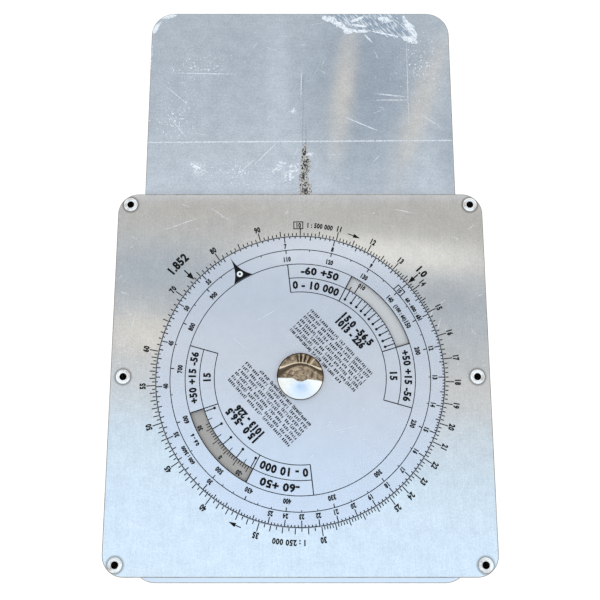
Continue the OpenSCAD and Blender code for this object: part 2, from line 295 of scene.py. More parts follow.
# Wear of a part that is pulled in and out: the torn film of white paint at the far end with its
# crumbs and specks, and the black worn mark in front of the body with the thin line over it.
# A mark shows where its noise, with the pull of the mark's ellipses added, passes the cut, and
# it fades towards their rims.
slideMarks = {
    "film": {"pull": 1.0, "cut": (0.16, 0.22), "fade": (0, 0.06), "places": [
        (21, 138.6, 13, 5.0, -8), (34.5, 137, 13.5, 6.4, -14)]},
    "paint": {"pull": 1.0, "cut": (0.55, 0.7), "fade": (0, 0.08), "places": [
        (14.8, 137.5, 8.4, 1.7, -33), (23.9, 134.4, 5.6, 1.0, 2), (34, 133.1, 8.0, 0.6, -13),
        (42.8, 130.9, 4.2, 2.1, -20), (42.9, 136, 7.6, 1.8, -60), (33.2, 139.5, 4.4, 1.9, -16),
        (11.5, 139.6, 4.6, 1.9, -14), (22.3, 139.4, 4.6, 1.0, 22), (19, 134.4, 3.6, 1.8, 6),
        (26.3, 131.6, 3.8, 0.45, -48), (22.6, 136.8, 5.4, 0.8, -8),
        (-52, 140.6, 5.0, 1.4, 14), (-56.4, 135.6, 4, 1.2, 58), (-57.9, 124, 9, 0.5, 90)]},
    "crumbs": {"pull": 0.1, "cut": (0.56, 0.6), "fade": (0, 0.12), "places": [
        (-38.3, 78.2, 4.4, 3.2, -20), (-3.4, 76, 5.4, 2.6, 62), (3.8, 83.4, 1.8, 1.6, 0),
        (-2.6, 101.4, 1.9, 1.6, 0), (-8, 79, 4, 1.6, 40)]},
    "specks": {"pull": 0.1, "cut": (0.68, 0.72), "fade": (0, 0.2), "places": [
        (-40, 119, 22, 9, 10), (46, 120, 14, 18, 0), (-24, 76, 30, 9, 0), (-47, 97, 14, 16, 0)]},
    "worn": {"pull": 0.1, "cut": (0.54, 0.58), "fade": (0.02, 0.12), "places": [
        (1.4, 84, 4.4, 1.3, 84), (2.0, 79.6, 4.6, 2.1, 92), (1.2, 75, 4.6, 1.8, 88),
        (1.9, 69.6, 5.6, 2.7, 92)]},
    "line": {"places": [(1.0, 98, 16, 0.24, 89), (1.0, 113.5, 5, 0.34, 90), (2.2, 90, 8, 0.3, 91)]}}
slideTones = {"line": "#6a727b", "film": "#93a8bc", "halo": "#c9c3bc", "paint": "#fbfdff",
              "worn": "#191614"}
# The near end, made lighter: a painted highlight, standing in for a bright reflection there
slideNearEndSheen = {"tone": "#d3d3d4", "from": -62, "to": -66.5}


def wearSlide(place, colour, gloss, bare):
    area = {mark: ellipsesMask(place, look["places"]) for mark, look in slideMarks.items()}

    def broken(mark, noise):
        look = slideMarks[mark]
        return remap(area[mark] * look["pull"] + noise, *look["cut"]) * remap(area[mark], *look["fade"])

    tears = noiseOf(place, 2.0, 9.0, 0.68) - 0.5
    crumbs = noiseOf(place, 0.8, 7.0, 0.7)
    streaks = noiseOf(place, 0.5, 5.0, stretch=(5, 1, 1), angle=-48)
    spots = noiseOf(place, 0.55, 5.0, 0.7, (1, 1.7, 1))
    film = broken("film", tears * 0.7)
    paint = broken("paint", tears * 1.5 + crumbs * 0.5) * remap(crumbs, 0.4, 0.52, 0.3, 1)
    for more in (film * remap(streaks, 0.5, 0.62, 0, 0.6), broken("crumbs", crumbs),
                 broken("specks", noiseOf(place, 0.75, 4.0, 0.6))):
        paint = calculate("MAXIMUM", paint, more)
    worn = broken("worn", spots)
    halo = remap(area["worn"], 0.02, 0.2) * 0.85
    line = remap(area["line"], 0, 0.6, 0, 0.5) * remap(spots, 0.42, 0.56)
    _, along, height = sidesOf(place)
    # painted highlight: the near end of the slide made lighter
    nearEndSheen = remap(along, slideNearEndSheen["from"] * mm, slideNearEndSheen["to"] * mm)
    colour = mixColour(nearEndSheen, colour, slideNearEndSheen["tone"])
    middle = (slideBottom + slideTop) / 2
    upper = calculate("GREATER_THAN", height, middle * mm)  # the underside keeps clean
    marks = {"line": line, "film": film * 0.4, "halo": halo, "paint": paint, "worn": worn}
    for mark, share in marks.items():
        colour = mixColour(share * upper, colour, slideTones[mark])
    cover = calculate("MAXIMUM", paint, worn) * upper
    gloss = feed(place.tree, "ShaderNodeMix", {0: cover, 2: gloss, 3: 0.55})
    return colour, gloss, calculate("SUBTRACT", bare, cover, clamp=True)


# Two tones mixed by patches (size, detail, roughness, stretch, angle) over a share of their
# range; the patches, or a finer grain (size, detail), raise the surface by a depth in mm
def plainFinish(name, tones, patch, share, depth, inputs, gloss=None, grain=None):
    place = newMaterial(name)
    patches = noiseOf(place, *patch)
    height = noiseOf(place, *grain) if grain else patches
    if gloss:
        inputs = {**inputs, "Roughness": remap(patches, 0.35, 0.7, *gloss)}
    closeSurface(height, depth, {"Base Color": mixColour(remap(patches, *share), *tones), **inputs})


# Small turned, pressed or plated metal parts: clean and worn tone, roughness, grain, metallic
smallMetals = {
    "eyeletNickel": ("#fcfcfb", "#b9b0a5", (0.1, 0.22), 0.5, 0.75),
    "domeChrome": ("#f7f7f6", "#e4dfd8", (0.03, 0.06), 0.7, 1.0),
    # painted shade: the dark tone of the eyelet throats
    "throatShade": ("#3b3732", "#1f1d1b", (0.45, 0.6), 0.4, 1.0),
    # painted shade: the dark tone of the dome's rim and skirt, where it meets the disc
    "domeRimShade": ("#6a5540", "#30271e", (0.3, 0.45), 0.4, 1.0),
    "studTurnedSteel": ("#c3c4c6", "#a2a19d", (0.25, 0.4), 0.3, 1.0),
    "seatStampedSteel": ("#bdbec0", "#9a9894", (0.3, 0.45), 0.4, 1.0),
    "springBluedSteel": ("#6f7684", "#8d8476", (0.25, 0.4), 0.4, 1.0),
    "rivetPressedAluminium": ("#e2e2e0", "#c4c1bb", (0.22, 0.38), 0.4, 1.0),
    "grommetRolledBrass": ("#d9b978", "#a5834a", (0.2, 0.38), 0.4, 1.0),
    "railMilledAluminium": ("#cfcdc9", "#a89d8e", (0.3, 0.45), 0.6, 1.0)}
# Screen-printed ink, matt and slightly uneven: tone, tone where it is thin, roughness, sheen
inks = {
    "blackScreenInk": ("#0a0b0c", "#1b1c1e", 0.6, 0.15),
    "greyScreenInk": ("#d3d1cf", "#cac8c5", 0.5, 0.4),
    # the darker grey is painted shade, on the half of the window band under the lower window
    "greyInkPaintedShade": ("#b2aca5", "#a8a39c", 0.5, 0.4),
    "whiteScreenInk": ("#f6f6f4", "#e2e2df", 0.45, 0.4)}

sheetMetal("plateSatinAluminium", plateAluminium)
sheetMetal("discSatinAluminium", discAluminium)
sheetMetal("backSatinAluminium", backAluminium)
sheetMetal("ringSatinAluminium", ringAluminium)
sheetMetal("slideRolledAluminium", slideAluminium, wearSlide)
# Guillotined sheet edge: rough bare metal dulled to a warm brown; its dark tone is partly a painted shade
# line along the sheet rims
plainFinish("cutEdgeAndShade", ("#a59b90", "#786b5c"), (3.0, 6.0, 0.7), (0.4, 0.62), 0.004,
            {"Metallic": 0.5, "Roughness": 0.4}, grain=(0.5, 4.0))
# Frosted acrylic: one sanded face that takes pencil, so it is a little milky over the grid
plainFinish("frostedAcrylic", ("#eef1f0", "#d8dcd8"), (14.0, 5.0, 0.5, (1, 3, 1), 30), (0.4, 0.7),
            0.003, {"Roughness": 0.42, "IOR": 1.49, "Alpha": 0.15}, grain=(0.4, 4.0))
# Vulcanised fibre: pressed paper board with a flecked, waxy brown face
plainFinish("pressedFibre", ("#6d4329", "#8c5c3c"), (0.5, 6.0, 0.7, (3, 1, 1)), (0.35, 0.65),
            0.01, {"Roughness": 0.6})
for metal, (clean, dulled, shine, size, metallic) in smallMetals.items():
    plainFinish(metal, (clean, dulled), (size * 5, 5.0, 0.62), (0.48, 0.72), 0.0006,
                {"Metallic": metallic}, shine, (size, 3.0))
for inkName, (full, thin, dullness, sheen) in inks.items():
    plainFinish(inkName, (full, thin), (1.1, 6.0, 0.7), (0.52, 0.72), 0.002,
                {"Roughness": dullness, "Specular IOR Level": sheen})
print("materials made:", len(materials))


# Mesh helpers

# Links a bmesh that was drawn in mm as an object in metres
def linkMesh(bm, name, finishes=()):
    bm.transform(Matrix.Scale(mm, 4))
    mesh = bpy.data.meshes.new(name)
    bm.to_mesh(mesh)
    bm.free()
    for finish in finishes:
        mesh.materials.append(materials[finish])
    made = bpy.data.objects.new(name, mesh)
    scene.collection.objects.link(made)
    return made


# Turns a bmesh into a finished piece that rides on a body of the computer
def finishPiece(bm, name, body, finishes, replaced=(), smoothUnder=20.0):
    bmesh.ops.remove_doubles(bm, verts=bm.verts, dist=0.0004)
    bmesh.ops.recalc_face_normals(bm, faces=bm.faces)
    piece = linkMesh(bm, name, finishes)
    piece.data.shade_smooth()
    piece.data.set_sharp_from_angle(angle=math.radians(smoothUnder))
    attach(piece, body)
    if replaced:
        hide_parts(*replaced)
    return piece


def vertsOf(geometry):
    return [v for v in geometry if isinstance(v, bmesh.types.BMVert)]


def shifted(centre, z=0.0):
    return Matrix.Translation((centre[0], centre[1], z))


def addCircle(bm, radius, segments, centre=(0.0, 0.0)):
    bmesh.ops.create_circle(bm, cap_ends=False, radius=radius, segments=segments, matrix=shifted(centre))


# A round bar, given by its middle
def addRod(bm, radius, depth, segments, centre, z):
    bmesh.ops.create_cone(bm, cap_ends=True, segments=segments, radius1=radius, radius2=radius,
                          depth=depth, matrix=shifted(centre, z))


# Outline of a rectangle whose corners are rounded by a bevel of its points
def addRoundedOutline(bm, low, high, radius):
    size = high - low
    place = shifted((low + high) / 2) @ Matrix.Diagonal((size.x, size.y, 1, 1))
    made = bmesh.ops.create_grid(bm, x_segments=1, y_segments=1, size=0.5, matrix=place)
    bmesh.ops.bevel(bm, geom=made["verts"], offset=radius, segments=20, profile=0.5,
                    affect="VERTICES", material=-1)
    bmesh.ops.delete(bm, geom=bm.faces[:], context="FACES_ONLY")


# Points joined by edges in turn, and back to the first where the path is closed
def addPath(bm, places, closed=True):
    points = [bm.verts.new(place) for place in places]
    ends = points[1:] + points[:1] if closed else points[1:]
    return points, [bm.edges.new(pair) for pair in zip(points, ends)]


# Sweeps geometry round an upright axis
def sweep(bm, geometry, turn, steps, centre=(0.0, 0.0), down=-1, merge=False):
    swept = bmesh.ops.spin(bm, geom=geometry, cent=(centre[0], centre[1], 0), axis=(0, 0, down),
                           angle=math.radians(turn), steps=steps, use_merge=merge)
    return vertsOf(swept["geom_last"])


# Outline of an arched window between two radii and two dial angles
def addWindowOutline(bm, inner, outer, start, end):
    firsts = [bm.verts.new(polar(radius, start)) for radius in (inner, outer)]
    steps = round((end - start) / 1.2)
    lasts = [sweep(bm, [first], end - start, steps)[0] for first in firsts]
    bm.edges.new(firsts)
    bm.edges.new(lasts)


def lift(bm, faces, height):
    lifted = bmesh.ops.extrude_face_region(bm, geom=faces)
    bmesh.ops.translate(bm, verts=vertsOf(lifted["geom"]), vec=(0, 0, height))


# Fills the outlines in a bmesh and thickens them to a sheet
def fillSheet(bm, bottom, top):
    bmesh.ops.triangle_fill(bm, use_beauty=True, edges=bm.edges[:])
    bmesh.ops.translate(bm, verts=bm.verts, vec=(0, 0, bottom))
    lift(bm, bm.faces[:], top - bottom)


# A sheet whose rims are rounded a little. The cut walls and the rims take the second material, whose dark
# tone is partly painted shade.
def makeSheet(bm, bottom, top, rim):
    fillSheet(bm, bottom, top)
    bmesh.ops.recalc_face_normals(bm, faces=bm.faces)
    rims = [e for e in bm.edges
            if e.calc_face_angle(0) > 1 and abs(e.verts[0].co.z - e.verts[1].co.z) < 0.001]
    bmesh.ops.bevel(bm, geom=rims, offset=rim, segments=2, profile=0.5, affect="EDGES", material=-1)
    for face in bm.faces:
        face.material_index = 0 if abs(face.normal.z) > 0.95 else 1


# Spins a section, given as radius and height pairs, all the way round an axis
def addTurned(bm, section, segments, centre=(0.0, 0.0), closed=True):
    points, edges = addPath(bm, [(centre[0] + r, centre[1], z) for r, z in section], closed)
    sweep(bm, points + edges, 360, segments, centre, 1, True)


# Points of an arc in a section, from one angle to another, counted from the radial direction
def sectionArc(centreR, centreZ, radiusR, radiusZ, start, end, count):
    turns = [math.radians(start + (end - start) * i / count) for i in range(count + 1)]
    return [(centreR + radiusR * math.cos(t), centreZ + radiusZ * math.sin(t)) for t in turns]


plateLook = {"corner": 7.5, "rim": 0.35, "studHole": 2.02, "studHead": 4.52, "studHeadDepth": 0.55,
             "opening": 51.0, "eyeletFit": 0.02, "cutterDepth": 2.0, "eyeletSegments": 48,
             "studSegments": 64, "headSegments": 96, "openingSegments": 256}


def startPlate(look, middleHole, segments):
    bm = bmesh.new()
    low, high = [corner.to_2d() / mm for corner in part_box("front_plate")]
    addRoundedOutline(bm, low, high, look["corner"])
    for place in eyeletPlaces:
        addCircle(bm, eyeletLook["barrel"] + look["eyeletFit"], look["eyeletSegments"], place)
    addCircle(bm, middleHole, segments)
    return bm


# Takes the shape of a bmesh out of a finished piece
def cutAway(piece, cutter):
    bmesh.ops.recalc_face_normals(cutter, faces=cutter.faces)
    tool = linkMesh(cutter, "cutter")
    cut = piece.modifiers.new("cut", "BOOLEAN")
    cut.object = tool
    cut.solver = "EXACT"
    bpy.context.view_layer.update()
    result = bpy.data.meshes.new_from_object(piece.evaluated_get(bpy.context.evaluated_depsgraph_get()))
    piece.modifiers.clear()
    result.name = piece.data.name
    piece.data = result
    bpy.data.objects.remove(tool)


def makeFrontPlate(look):
    bm = startPlate(look, look["studHole"], look["studSegments"])
    makeSheet(bm, frontBottom, frontTop, look["rim"])
    plate = finishPiece(bm, "frontPlateSheet", "body", ["plateSatinAluminium", "cutEdgeAndShade"],
                        ["front_plate"])
    recess = bmesh.new()
    middle = frontBottom + look["studHeadDepth"] - look["cutterDepth"] / 2
    addRod(recess, look["studHead"], look["cutterDepth"], look["headSegments"], (0, 0), middle)
    cutAway(plate, recess)


def makeBackPlate(look):
    bm = startPlate(look, look["opening"], look["openingSegments"])
    makeSheet(bm, backBottom, backTop, look["rim"])
    finishPiece(bm, "backPlateSheet", "body", ["backSatinAluminium", "cutEdgeAndShade"],
                ["back_plate"])


makeFrontPlate(plateLook)
makeBackPlate(plateLook)


# Eyelets: a drawn tube whose two ends are rolled over in a round bead
def makeEyelets(look):
    bm = bmesh.new()
    half = (look["flange"] - look["bore"]) / 2
    middle = look["bore"] + half
    section = sectionArc(middle, frontTop, half, look["flangeRise"], 180, 0, look["beadSteps"])
    section += [(look["barrel"], frontTop), (look["barrel"], backBottom)]
    section += sectionArc(middle, backBottom, half, -look["flangeRise"], 0, 180, look["beadSteps"])
    for place in eyeletPlaces:
        addTurned(bm, section, look["segments"], place)
        for face in bm.faces:
            away = face.calc_center_median().to_2d() - Vector(place)
            if away.length < look["bore"] + look["throat"]:
                face.material_index = 1  # the throat, darkened as painted shade
    finishPiece(bm, "rolledEyelets", "body", ["eyeletNickel", "throatShade"],
                ["eyelets"], smoothUnder=50)


makeEyelets(eyeletLook)

# Dome cap: drawn from thin sheet, its shoulder rounded and its rim turned under
domeLook = {"wall": 0.4, "shoulder": 0.35, "shoulderDrop": 0.2, "skirtOver": 0.3, "segments": 128,
            "bead": 0.14, "cut": 2.0, "rimShade": 0.4, "skirtShade": 0.1,
            "topSteps": 26, "shoulderSteps": 6, "beadSteps": 8, "insideSteps": 14}


# Radius and edge angle of the ball whose cap has a radius and a rise
def ballOf(radius, rise):
    ball = (radius ** 2 + rise ** 2) / (2 * rise)
    return ball, math.degrees(math.asin(radius / ball))


def makeDome(look):
    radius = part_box("dome_cap")[1].x / mm
    skirtTop = levelsOf("cap_seat")[1] + look["skirtOver"]
    wall, shoulder, bead = look["wall"], look["shoulder"], look["bead"]
    ball, edge = ballOf(radius, capTop - skirtTop)
    innerBall, innerEdge = ballOf(radius - wall, capTop - wall - skirtTop)
    profile = sectionArc(0, capTop - ball, ball, ball, 90, 90 - edge + look["cut"], look["topSteps"])
    profile += sectionArc(radius - shoulder, skirtTop - look["shoulderDrop"], shoulder, shoulder, 48, 0,
                          look["shoulderSteps"])
    profile += sectionArc(radius - bead, capBottom + bead, bead, bead, 0, -180, look["beadSteps"])
    profile += sectionArc(0, capTop - wall - innerBall, innerBall, innerBall, 90 - innerEdge, 90,
                          look["insideSteps"])
    bm = bmesh.new()
    addTurned(bm, [(max(r, 0.0), z) for r, z in profile], look["segments"], closed=False)
    for face in bm.faces:
        middle = face.calc_center_median()
        away = middle.to_2d().length
        if middle.z < skirtTop + look["skirtShade"] or away > radius - look["rimShade"]:
            face.material_index = 1  # the rim and the skirt are darkened as painted shade
    finishPiece(bm, "domeCapShell", "body", ["domeChrome", "domeRimShade"], ["dome_cap"],
                smoothUnder=40)


makeDome(domeLook)

# Calculator disc with its two arched windows
discLook = {"radius": 51.4, "bore": 2.05, "rim": 0.1, "windowIn": 35.6, "windowOut": 40.7,
            "windows": [(27.3, 73.2), (207.3, 251.8)], "segments": 256, "boreSegments": 64}


def makeDisc(look):
    bm = bmesh.new()
    addCircle(bm, look["radius"], look["segments"])
    addCircle(bm, look["bore"], look["boreSegments"])
    for start, end in look["windows"]:
        addWindowOutline(bm, look["windowIn"], look["windowOut"], start, end)
    makeSheet(bm, discBottom, discTop, look["rim"])
    finishPiece(bm, "calculatorDiscSheet", "calculator", ["discSatinAluminium", "cutEdgeAndShade"],
                ["calculator_disc"])


makeDisc(discLook)

# Slide: one long sheet, its corners rounded and its edges rubbed down
slideLook = {"corner": 9.0, "rim": 0.3}


def makeSlide(look):
    bm = bmesh.new()
    low, high = [corner.to_2d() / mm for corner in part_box("slide_plate")]
    addRoundedOutline(bm, low, high, look["corner"])
    makeSheet(bm, slideBottom, slideTop, look["rim"])
    finishPiece(bm, "slideSheet", "slide", ["slideRolledAluminium", "cutEdgeAndShade"],
                ["slide_plate"])


makeSlide(slideLook)

# CAD parts that keep their shape and take a finish
keptParts = {
    "left_rail": "railMilledAluminium", "right_rail": "railMilledAluminium",
    "pivot_stud": "studTurnedSteel", "thrust_washer": "pressedFibre",
    "spring_washer": "springBluedSteel", "cap_seat": "seatStampedSteel",
    "compass_ring": "ringSatinAluminium", "plotting_window": "frostedAcrylic",
    "ring_rivets": "rivetPressedAluminium", "centre_grommet": "grommetRolledBrass"}
for node, finish in keptParts.items():
    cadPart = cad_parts[node]
    cadPart.data.materials.clear()
    cadPart.data.materials.append(materials[finish])
print("sheet parts, eyelets and dome made")


# Printing

ink = {"thick": 0.03, "circle": 0.026, "fine": 0.27, "line": 0.36, "bold": 0.5, "tracking": 0.16,
       "space": 0.75, "font": 2, "dotSegments": 14, "bandStep": 1.4}
glyphs = {}


# One character of the font as a closed solid that stands on y = 0
def fontGlyph(character, weight):
    curve = bpy.data.curves.new("glyph", "FONT")
    curve.body = character
    curve.align_x = "CENTER"
    curve.resolution_u = ink["font"]
    curve.extrude = 0.5
    curve.offset = weight
    holder = bpy.data.objects.new("glyph", curve)
    scene.collection.objects.link(holder)
    bpy.context.view_layer.update()
    mesh = bpy.data.meshes.new_from_object(holder)
    bpy.data.objects.remove(holder)
    bpy.data.curves.remove(curve)
    return mesh


digitHeight = max(v.co.y for v in fontGlyph("0", 0.0).vertices)


# The same, 1 high and centred on x, with its width
def glyphOf(character, weight):
    key = (character, weight)
    if key not in glyphs:
        mesh = fontGlyph(character, weight)
        mesh.transform(Matrix.Diagonal((1 / digitHeight, 1 / digitHeight, 1, 1)))
        across = [v.co.x for v in mesh.vertices]
        mesh.transform(Matrix.Translation((-(min(across) + max(across)) / 2, 0, 0)))
        glyphs[key] = (mesh, max(across) - min(across))
    return glyphs[key]


digitWidth = glyphOf("0", 0.0)[1]


# Room that a character takes, as a share of its height
def advanceOf(character):
    if character == " ":
        return digitWidth * ink["space"]
    if character.isdigit():
        return digitWidth + ink["tracking"]
    return glyphOf(character, 0.0)[1] + ink["tracking"]


# A print: ink that stands on a face at a height
class Print:
    def __init__(self, face):
        self.bm = bmesh.new()
        self.face = face

    # Place of a flat mark: its middle, its turn and its size
    def spread(self, middle, turn, width, height):
        return (shifted(middle, self.face + ink["thick"] / 2) @ Matrix.Rotation(math.radians(turn), 4, "Z")
                @ Matrix.Diagonal((width, height, ink["thick"], 1)))

    def glyph(self, character, spot, turn, width, height, weight):
        if character != " ":
            copy = glyphOf(character, weight)[0].copy()
            copy.transform(self.spread(spot, turn, width, height))
            self.bm.from_mesh(copy)
            bpy.data.meshes.remove(copy)

    # Writes along an arc with the tops of the characters outwards; radius is the text's middle
    def write(self, text, radius, angle, height, weight, narrow=0.74):
        widths = [advanceOf(c) * height * narrow for c in text]
        travel = -sum(widths) / 2
        for character, width in zip(text, widths):
            turn = angle + math.degrees((travel + width / 2) / radius)
            self.glyph(character, polar(radius - height / 2, turn), -turn, height * narrow, height, weight)
            travel += width

    # Writes along a straight line from its left end, at an angle anticlockwise from +X
    def writeLine(self, text, start, angle, height, weight, narrow=0.74, length=None):
        widths = [advanceOf(c) * height * narrow for c in text]
        fit = length / sum(widths) if length else 1.0
        along = Matrix.Rotation(math.radians(angle), 2)
        travel = 0.0
        for character, width in zip(text, widths):
            spot = Vector(start) + along @ Vector((travel + width * fit / 2, 0))
            self.glyph(character, spot, angle, height * narrow * min(fit, 1.0), height, weight)
            travel += width * fit

    # A bar at a dial angle, from one radius to another
    def tick(self, angle, inner, outer, width=ink["line"]):
        place = self.spread(polar((inner + outer) / 2, angle), -angle, width, outer - inner)
        bmesh.ops.create_cube(self.bm, size=1, matrix=place)

    # A bar between two points
    def bar(self, start, end, width):
        along = end - start
        turn = math.degrees(math.atan2(along.y, along.x))
        place = self.spread((start + end) / 2, turn, along.length, width)
        bmesh.ops.create_cube(self.bm, size=1, matrix=place)

    # A line or band round an axis, all the way or between two dial angles
    def band(self, inner, outer, start=0.0, end=360.0, thick=ink["thick"], centre=(0.0, 0.0)):
        top = self.face + thick
        corners = ((inner, self.face), (outer, self.face), (outer, top), (inner, top))
        middle = Vector((centre[0], centre[1], 0))
        points, edges = addPath(self.bm, [middle + polar(r, start, z) for r, z in corners])
        whole = end - start >= 360
        steps = max(2, round((end - start) / ink["bandStep"]))
        lasts = sweep(self.bm, points + edges, end - start, steps, centre, merge=whole)
        if not whole:
            self.bm.faces.new(points)
            self.bm.faces.new(lasts)

    # Arrow head with its point at a spot, looking along a direction
    def head(self, tip, along, length, width):
        back = tip - along * length
        half = Vector((-along.y, along.x)) * width / 2
        corners = [(spot.x, spot.y, self.face) for spot in (tip, back + half, back - half)]
        lift(self.bm, [self.bm.faces.new([self.bm.verts.new(corner) for corner in corners])], ink["thick"])

    def dot(self, spot, radius, rise=0.0):
        addRod(self.bm, radius, ink["thick"], ink["dotSegments"], spot, self.face + rise + ink["thick"] / 2)

    # Frame of lines round a label at a dial angle
    def box(self, angle, middle, width, height):
        turn = Matrix.Rotation(-math.radians(angle), 2)
        centre = polar(middle, angle).to_2d()
        corners = [centre + turn @ Vector((x * width / 2, y * height / 2))
                   for x, y in ((-1, -1), (1, -1), (1, 1), (-1, 1))]
        for start, end in zip(corners, corners[1:] + corners[:1]):
            reach = (end - start).normalized() * ink["line"] / 2
            self.bar(start - reach, end + reach, ink["line"])

    def finish(self, name, body, recordSlot, finishes=("blackScreenInk",)):
        finishPiece(self.bm, name, body, finishes)


# The logarithmic law of both scales: once round from 10 to 100
def scaleAngle(value):
    return 360 * math.log10(value / 10)


# Rank of a graduation: 0 minor, 1 middle, 2 major
def rankOf(count, major, middle):
    return 2 if count % major == 0 else 1 if count % middle == 0 else 0


# Every graduation of the scale with its rank, for stretches of it that are counted in tenths:
# first, end, step, and how often a major and a middle one come
def scaleMarks():
    stretches = ((100, 150, 1, 10, 5), (150, 252, 2, 10, 10), (252, 300, 2, 50, 10),
                 (300, 600, 5, 50, 10), (600, 1000, 10, 100, 50))
    return [(i / 10, rankOf(i, major, middle)) for first, end, step, major, middle in stretches
            for i in range(first, end, step)]


labelled = [*range(11, 26), *range(30, 60, 5), *range(60, 100, 10)]

# Fixed outer scale on the front plate
outerScale = {
    "start": 51.15, "ends": (52.6, 53.5, 54.6), "number": (55.9, 1.9, 0.06), "box": (-0.75, 55.5, 3.3, 2.6),
    # text, radius, angle, height, weight and width share
    "texts": [("10", 55.5, -0.75, 1.7, 0.05), ("1 : 500 000", 55.6, 7.4, 1.75, 0.05, 0.76),
              ("1 : 250 000", 56.3, 183.8, 1.8, 0.05, 0.9), ("1.852", 60.6, 312.3, 3.0, 0.05, 0.86),
              ("1.0", 58.4, 49.2, 2.5, 0.055, 0.9)],
    # angle, tip, shaft's ends, length and width of the head of each arrow that points inwards
    "arrows": [(312.3, 52.0, (54.4, 57.2), (3.0, 2.2)), (49.2, 51.7, (53.4, 56.6), (2.8, 2.0))],
    # the two arrows that show which way the scale runs
    "runs": (18.6, 201.6), "runLine": (54.95, 55.3), "runTurn": 2.6, "runTip": (55.1, 4.9),
    "runAhead": 93.4, "runHead": (2.6, 1.5)}


def printOuterScale(look):
    ring = Print(frontTop)
    for value, rank in scaleMarks():
        ring.tick(scaleAngle(value), look["start"], look["ends"][rank])
    radius, height, weight = look["number"]
    for value in labelled:
        ring.write(str(value), radius, scaleAngle(value), height, weight)
    for text in look["texts"]:
        ring.write(*text)
    ring.box(*look["box"])
    for angle, tip, shaft, head in look["arrows"]:
        ring.tick(angle, *shaft, ink["bold"])
        ring.head(polar(tip, angle).to_2d(), -polar(1, angle).to_2d(), *head)
    for angle in look["runs"]:
        ring.band(*look["runLine"], angle, angle + look["runTurn"])
        radius, turn = look["runTip"]
        ahead = polar(1, angle + look["runAhead"]).to_2d()
        ring.head(polar(radius, angle + turn).to_2d(), ahead, *look["runHead"])
    ring.finish("outerScalePrint", "body", "front_plate_aluminium")


printOuterScale(outerScale)

# What shows through the disc's windows: a grey band, the half under the lower window darker as
# painted shade, with temperature graduations
windowFloor = {
    "inner": 34.6, "outer": 41.9, "thick": 0.03, "shadedSide": 230, "foot": 35.4,
    "upperTicks": [(29.8, 37.3), (33.2, 38.5)], "lowerStart": 210, "lowerStep": 1.5,
    "lowerCount": 23, "lowerEnds": (37.1, 37.9, 38.5),
    "texts": [("010", 39.3, 34.6), ("-20", 39.4, 212.6), ("0", 39.4, 225.0), ("30", 39.4, 243.0)],
    "letters": (1.5, 0.06)}


def printWindowFloor(look):
    floor = Print(frontTop)
    floor.band(look["inner"], look["outer"], thick=look["thick"])
    for face in floor.bm.faces:
        # painted shade: the half towards the lower window takes the darker grey
        if face.calc_center_median().dot(polar(1, look["shadedSide"])) > 0:
            face.material_index = 1
    floor.finish("temperatureBand", "body", "front_plate_aluminium", ("greyScreenInk", "greyInkPaintedShade"))
    marks = Print(frontTop + look["thick"])
    for angle, end in look["upperTicks"]:
        marks.tick(angle, look["foot"], end)
    for i in range(look["lowerCount"]):
        end = look["lowerEnds"][rankOf(i + 5, 10, 5)]
        marks.tick(look["lowerStart"] + i * look["lowerStep"], look["foot"], end, ink["fine"])
    for text in look["texts"]:
        marks.write(*text, *look["letters"])
    marks.finish("temperatureScalePrint", "body", "front_plate_aluminium")


printWindowFloor(windowFloor)

# Scales on the calculator disc
discScale = {
    "turn": 49.2, "rim": 51.2, "rimLine": 0.3, "ends": (50.3, 49.6, 48.8), "number": (47.6, 1.55, 0.066),
    "ten": ("10", 47.25, 49.2, 1.4, 0.066), "box": (49.2, 47.25, 3.4, 2.4),
    "hourCircle": 46.05, "hourTicks": (1.3, 0.7), "hour": (42.7, 1.6, 0.062),
    "circles": (46.05, 40.7), "circleHalf": 0.14, "frameCircles": (35.6, 30.4), "frame": (353.5, 465.6),
    "texts": [("60 - 600 : 60", 47.4, 59.0), ("(100 : 60)", 42.6, 57.6), ("600 : 3600", 47.5, 235.2),
              ("0.6 - 6", 42.7, 239.2)], "letters": (1.25, 0.07, 0.84),
    "hours": [*range(70, 120, 10), *range(120, 300, 30), *range(300, 600, 60)],
    "minutes": [*range(65, 120, 5), *range(120, 300, 10), *range(300, 600, 30)]}


def printDiscScale(look):
    disc = Print(discTop)
    turn = look["turn"]
    for value, rank in scaleMarks():
        if abs(value - 60) > 0.6:
            disc.tick(scaleAngle(value) + turn, look["ends"][rank], look["rim"])
    radius, height, weight = look["number"]
    for value in labelled:
        if value != 60:  # the pointer stands there
            text = str(value // 10) if value >= 70 else str(value)
            disc.write(text, radius, scaleAngle(value) + turn, height, weight)
    disc.write(*look["ten"])
    disc.box(*look["box"])
    disc.band(look["rim"] - look["rimLine"], look["rim"], thick=ink["circle"])
    # hours and minutes that stand over the minutes of the scale
    circle = look["hourCircle"]
    long, short = look["hourTicks"]
    radius, height, weight = look["hour"]
    for minutes in look["hours"]:
        angle = scaleAngle(minutes) + turn
        disc.tick(angle, circle - long, circle)
        disc.write(f"{minutes // 60}{minutes % 60:02d}", radius, angle, height, weight)
    for minutes in look["minutes"]:
        disc.tick(scaleAngle(minutes) + turn, circle - short, circle, ink["fine"])
    start, end = look["frame"]
    arcs = [(radius, 0, 360) for radius in look["circles"]]
    arcs += [(radius, start + shift, end + shift) for radius in look["frameCircles"] for shift in (0, 180)]
    for radius, start, end in arcs:
        disc.band(radius - look["circleHalf"], radius + look["circleHalf"], start, end, ink["circle"])
    for text in look["texts"]:
        disc.write(*text, *look["letters"])
    disc.finish("discScalePrint", "calculator", "disc_aluminium")


printDiscScale(discScale)

# The solid hour pointer, with a round target let into it
pointerLook = {"angle": 329.3, "tip": 51.0, "waist": 44.6, "base": 40.9, "left": 324.2, "right": 334.8,
               "pulls": (0.62, 0.75), "steps": 16, "baseSteps": 8, "thick": 0.034,
               "target": 43.0, "targetSize": 1.1, "targetFit": 0.02, "targetThick": 0.02,
               "targetSegments": 28, "dot": 0.42}


